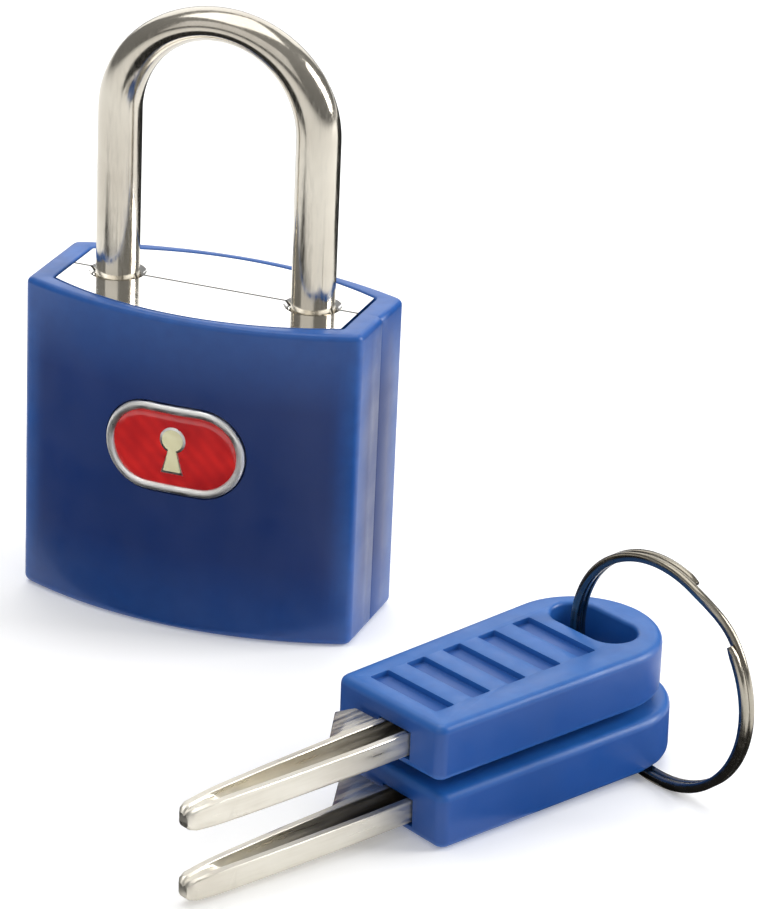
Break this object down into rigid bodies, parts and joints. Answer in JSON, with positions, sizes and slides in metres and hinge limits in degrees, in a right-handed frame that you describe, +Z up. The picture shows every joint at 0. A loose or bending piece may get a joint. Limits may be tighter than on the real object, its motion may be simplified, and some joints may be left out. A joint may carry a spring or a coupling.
{
  "type": "keyed luggage padlock",
  "caption": "Small keyed luggage padlock with a blue jacketed body and steel shackle, with two folded-blade keys on a split ring beside it.",
  "frame": {"origin": "centre of the padlock body's flat underside, on the axis of its keyway", "axes": "+X right across the body's width, -Y the badge side, +Z up along the shackle's legs"},
  "size_m": [0.0694, 0.0603, 0.0525],
  "materials": {
    "blue_jacket": "semi-gloss moulded",
    "plated_core": "polished plating",
    "badge_metal": "polished",
    "red_enamel": "glossy enamel",
    "cream_enamel": "glossy enamel",
    "brass_plug": "turned",
    "brass_wafer": "stamped",
    "spring_steel": "drawn wire",
    "steel": "zinc plated",
    "nickel_shackle": "polished nickel",
    "blue_key_head": "semi-gloss moulded",
    "nickel_blade": "satin nickel, stamped",
    "ring_wire": "polished spring steel"
  },
  "bodies": {
    "casing": {"front_shell": "blue_jacket", "rear_shell": "blue_jacket", "core_front": "plated_core", "core_rear": "plated_core", "core_rivets": "plated_core", "badge_bezel": "badge_metal", "badge_enamel": "red_enamel", "badge_keyhole": "cream_enamel", "plug_sleeve": "plated_core", "latch_spring": "spring_steel", "shackle_spring": "spring_steel", "spring_seat": "steel", "heel_stop_pin": "steel"},
    "plug": {"plug": "brass_plug", "wafer_springs": "spring_steel", "plug_clip": "spring_steel", "cam": "steel", "cam_screw": "steel"},
    "wafer_1": {"wafer_1": "brass_wafer"},
    "wafer_2": {"wafer_2": "brass_wafer"},
    "wafer_3": {"wafer_3": "brass_wafer"},
    "wafer_4": {"wafer_4": "brass_wafer"},
    "wafer_5": {"wafer_5": "brass_wafer"},
    "wafer_6": {"wafer_6": "brass_wafer"},
    "latch": {"latch_bolt": "steel"},
    "shackle": {"shackle": "nickel_shackle"},
    "lower_key": {"key_lower_head": "blue_key_head", "key_lower_blade": "nickel_blade"},
    "upper_key": {"key_upper_head": "blue_key_head", "key_upper_blade": "nickel_blade"},
    "key_ring": {"key_ring": "ring_wire"}
  },
  "joints": [
    {"name": "plug_turn", "type": "hinge", "parent": "casing", "child": "plug", "pos_m": [0, 0, 0.01], "axis": [0, 0, 1], "range_deg": [0, 90]},
    {"name": "latch_slide", "type": "slide", "parent": "casing", "child": "latch", "axis": [-1, 0, 0], "range_m": [0, 0.00368], "deforming": ["latch_spring"]},
    {"name": "shackle_lift", "type": "slide", "parent": "casing", "child": "shackle", "axis": [0, 0, 1], "range_m": [0, 0.008], "deforming": ["shackle_spring"]},
    {"name": "wafer_1_slide", "type": "slide", "parent": "plug", "child": "wafer_1", "axis": [1, 0, 0], "range_m": [-0.00015, 0.00015]},
    {"name": "wafer_2_slide", "type": "slide", "parent": "plug", "child": "wafer_2", "axis": [1, 0, 0], "range_m": [-0.00015, 0.00015]},
    {"name": "wafer_3_slide", "type": "slide", "parent": "plug", "child": "wafer_3", "axis": [1, 0, 0], "range_m": [-0.00015, 0.00015]},
    {"name": "wafer_4_slide", "type": "slide", "parent": "plug", "child": "wafer_4", "axis": [1, 0, 0], "range_m": [-0.00015, 0.00015]},
    {"name": "wafer_5_slide", "type": "slide", "parent": "plug", "child": "wafer_5", "axis": [1, 0, 0], "range_m": [-0.00015, 0.00015]},
    {"name": "wafer_6_slide", "type": "slide", "parent": "plug", "child": "wafer_6", "axis": [1, 0, 0], "range_m": [-0.00015, 0.00015]},
    {"name": "keys_lift_off", "type": "slide", "parent": "casing", "child": "lower_key", "axis": [0, 0, 1], "range_m": [0, 0.06]},
    {"name": "upper_key_swing", "type": "hinge", "parent": "lower_key", "child": "upper_key", "pos_m": [0.03702, -0.01291, 0.0085], "axis": [-0.0024, -0.0047, 1], "range_deg": [-30, 45]},
    {"name": "ring_turn", "type": "hinge", "parent": "lower_key", "child": "key_ring", "pos_m": [0.0455, -0.0172, 0.00989], "axis": [0.4778, 0.8764, 0.0593], "continuous": true}
  ],
  "couplings": [
    {"joint": "latch_slide", "follows": "shackle_lift", "ratio": 0.45962},
    {"joint": "plug_turn", "follows": "shackle_lift", "rad_per_m": 196.35},
    {"joint": "wafer_2_slide", "follows": "wafer_1_slide", "ratio": -0.6},
    {"joint": "wafer_3_slide", "follows": "wafer_1_slide", "ratio": 0.8},
    {"joint": "wafer_4_slide", "follows": "wafer_1_slide", "ratio": -1},
    {"joint": "wafer_5_slide", "follows": "wafer_1_slide", "ratio": 0.5},
    {"joint": "wafer_6_slide", "follows": "wafer_1_slide", "ratio": 0.9}
  ]
}
